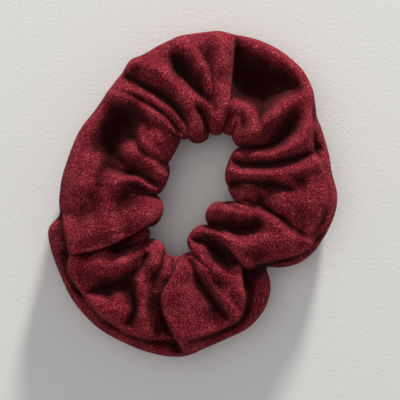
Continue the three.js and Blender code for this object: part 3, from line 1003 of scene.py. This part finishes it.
class ScrunchieColours(bpy.types.PropertyGroup):
    """Colours of the cloth, the elastic and the thread, and of the paper that it lies on."""

    velvet: bpy.props.FloatVectorProperty(
        name="Velvet", description="Middle of the pile",
        subtype="COLOR", size=3, default=(0.094, 0.0048, 0.0108),
    )
    velvet_deep: bpy.props.FloatVectorProperty(
        name="Velvet, deep", description="Between the fibres",
        subtype="COLOR", size=3, default=(0.044, 0.0013, 0.0065),
    )
    velvet_tip: bpy.props.FloatVectorProperty(
        name="Velvet, tips", description="Tips of the fibres",
        subtype="COLOR", size=3, default=(0.42, 0.066, 0.072),
    )
    sheen: bpy.props.FloatVectorProperty(
        name="Sheen", description="Glow along the folds",
        subtype="COLOR", size=3, default=(0.85, 0.34, 0.31),
    )
    lint: bpy.props.FloatVectorProperty(
        name="Lint", description="Loose bright fibres",
        subtype="COLOR", size=3, default=(0.30, 0.09, 0.09),
    )
    elastic: bpy.props.FloatVectorProperty(
        name="Elastic", description="Braided band",
        subtype="COLOR", size=3, default=(0.72, 0.70, 0.64),
    )
    thread: bpy.props.FloatVectorProperty(
        name="Thread", description="Sewing thread",
        subtype="COLOR", size=3, default=(0.07, 0.008, 0.014),
    )
    paper: bpy.props.FloatVectorProperty(
        name="Paper", description="Surface that it lies on",
        subtype="COLOR", size=3, default=(0.765, 0.76, 0.74),
    )


class SCRUNCHIE_OT_casing(bpy.types.Operator):
    """Make the gathered velvet tube"""

    bl_idname = "scrunchie.casing"
    bl_label = "Velvet casing"

    def execute(self, context):
        sizes = context.scene.scrunchie_sizes
        material = velvet_material(context.scene.scrunchie_colours)
        piece = casing_mesh("velvet_casing", material, sizes.cloth_thickness)
        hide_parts(*CASING_NODES)
        follow_cloth(piece)
        return {"FINISHED"}


def follow_cloth(piece):
    """Apply the piece's placement to its mesh, so that the piece stands at the origin."""
    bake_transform(piece)


class SCRUNCHIE_OT_elastic(bpy.types.Operator):
    """Make the loop of braided elastic inside the casing"""

    bl_idname = "scrunchie.elastic"
    bl_label = "Elastic"

    def execute(self, context):
        material = elastic_material(context.scene.scrunchie_colours.elastic)
        piece = elastic_mesh("elastic_loop", material)
        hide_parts("elastic_band")
        follow_cloth(piece)
        return {"FINISHED"}


class SCRUNCHIE_OT_stitching(bpy.types.Operator):
    """Sew the elastic's lapped ends, the casing's long seam and its closing seam"""

    bl_idname = "scrunchie.stitching"
    bl_label = "Stitching"

    def execute(self, context):
        sizes = context.scene.scrunchie_sizes
        material = thread_material(context.scene.scrunchie_colours.thread)
        path, _ = even_steps(join_stitch_path(), 240)
        strand = tube_along(path, THREAD_RADIUS, THREAD_SIDES)
        faces = [closed_faces(*strand.shape[:2])]
        zigzag = mesh_object("elastic_zigzag", strand.reshape(-1, 3), faces, material)

        cloth = casing_surface()
        inside = cloth - grid_normals(cloth) * (sizes.cloth_thickness + 3.5 * THREAD_RADIUS)
        lines = {
            "long_seam": inside[:, LONG_SEAM_ROW],
            "closing_seam": inside[CLOSING_SEAM_COLUMN],
        }
        seams = {
            name: seam_thread(name, line, sizes.stitch_length, material)
            for name, line in lines.items()
        }
        for piece, node in (
            (zigzag, "elastic_join_stitches"),
            (seams["long_seam"], "long_seam_thread"),
            (seams["closing_seam"], "closing_seam_thread"),
        ):
            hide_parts(node)
            follow_cloth(piece)
        return {"FINISHED"}


class SCRUNCHIE_OT_stage(bpy.types.Operator):
    """Lay the paper, and set the lights and the camera"""

    bl_idname = "scrunchie.stage"
    bl_label = "Paper, lights and camera"

    def execute(self, context):
        colours = context.scene.scrunchie_colours
        corners = np.array([(-1, -1, 0), (1, -1, 0), (1, 1, 0), (-1, 1, 0)]) * PAPER_REACH
        face = [np.array([[0, 1, 2, 3]])]
        paper = mesh_object("paper", corners, face, paper_material(colours.paper))
        area_light("window", (0.36, 1.52, 0.42), size=0.22, power=36.0, colour=(1.0, 0.985, 0.96))
        area_light("room", (-0.2, 0.1, 0.9), size=1.0, power=2.2, colour=(1.0, 0.98, 0.97))
        world = bpy.data.worlds.new("room")
        world.use_nodes = True
        air = world.node_tree.nodes["Background"]
        air.inputs["Color"].default_value = (0.90, 0.90, 0.92, 1)
        air.inputs["Strength"].default_value = 0.37
        context.scene.world = world
        context.scene.view_settings.view_transform = "Standard"
        camera = bpy.data.cameras.new("camera")
        camera.lens = 100
        camera.sensor_width = 36
        holder = bpy.data.objects.new("camera", camera)
        holder.location = (0.0027, -0.0023, (VIEW_HEIGHT + EDGE_HEIGHT) * MM)
        context.scene.collection.objects.link(holder)
        context.scene.camera = holder
        return {"FINISHED"}


class SCRUNCHIE_PT_panel(bpy.types.Panel):
    """Sizes, colours and the pieces in the order that they are made"""

    bl_label = "Scrunchie"
    bl_space_type = "VIEW_3D"
    bl_region_type = "UI"
    bl_category = "Scrunchie"

    def draw(self, context):
        for group in (context.scene.scrunchie_sizes, context.scene.scrunchie_colours):
            box = self.layout.box()
            for name in group.bl_rna.properties.keys():
                if name not in ("rna_type", "name"):
                    box.prop(group, name)
        for operator in OPERATORS:
            self.layout.operator(operator.bl_idname)


OPERATORS = (
    SCRUNCHIE_OT_stage,
    SCRUNCHIE_OT_casing,
    SCRUNCHIE_OT_elastic,
    SCRUNCHIE_OT_stitching,
)
CLASSES = (ScrunchieSizes, ScrunchieColours, *OPERATORS, SCRUNCHIE_PT_panel)


def register():
    for cls in CLASSES:
        bpy.utils.register_class(cls)
    bpy.types.Scene.scrunchie_sizes = bpy.props.PointerProperty(type=ScrunchieSizes)
    bpy.types.Scene.scrunchie_colours = bpy.props.PointerProperty(type=ScrunchieColours)


def unregister():
    del bpy.types.Scene.scrunchie_colours
    del bpy.types.Scene.scrunchie_sizes
    for cls in reversed(CLASSES):
        bpy.utils.unregister_class(cls)


def main():
    register()
    for operator in OPERATORS:
        section, name = operator.bl_idname.split(".")
        getattr(getattr(bpy.ops, section), name)()


if __name__ == "__main__":
    main()
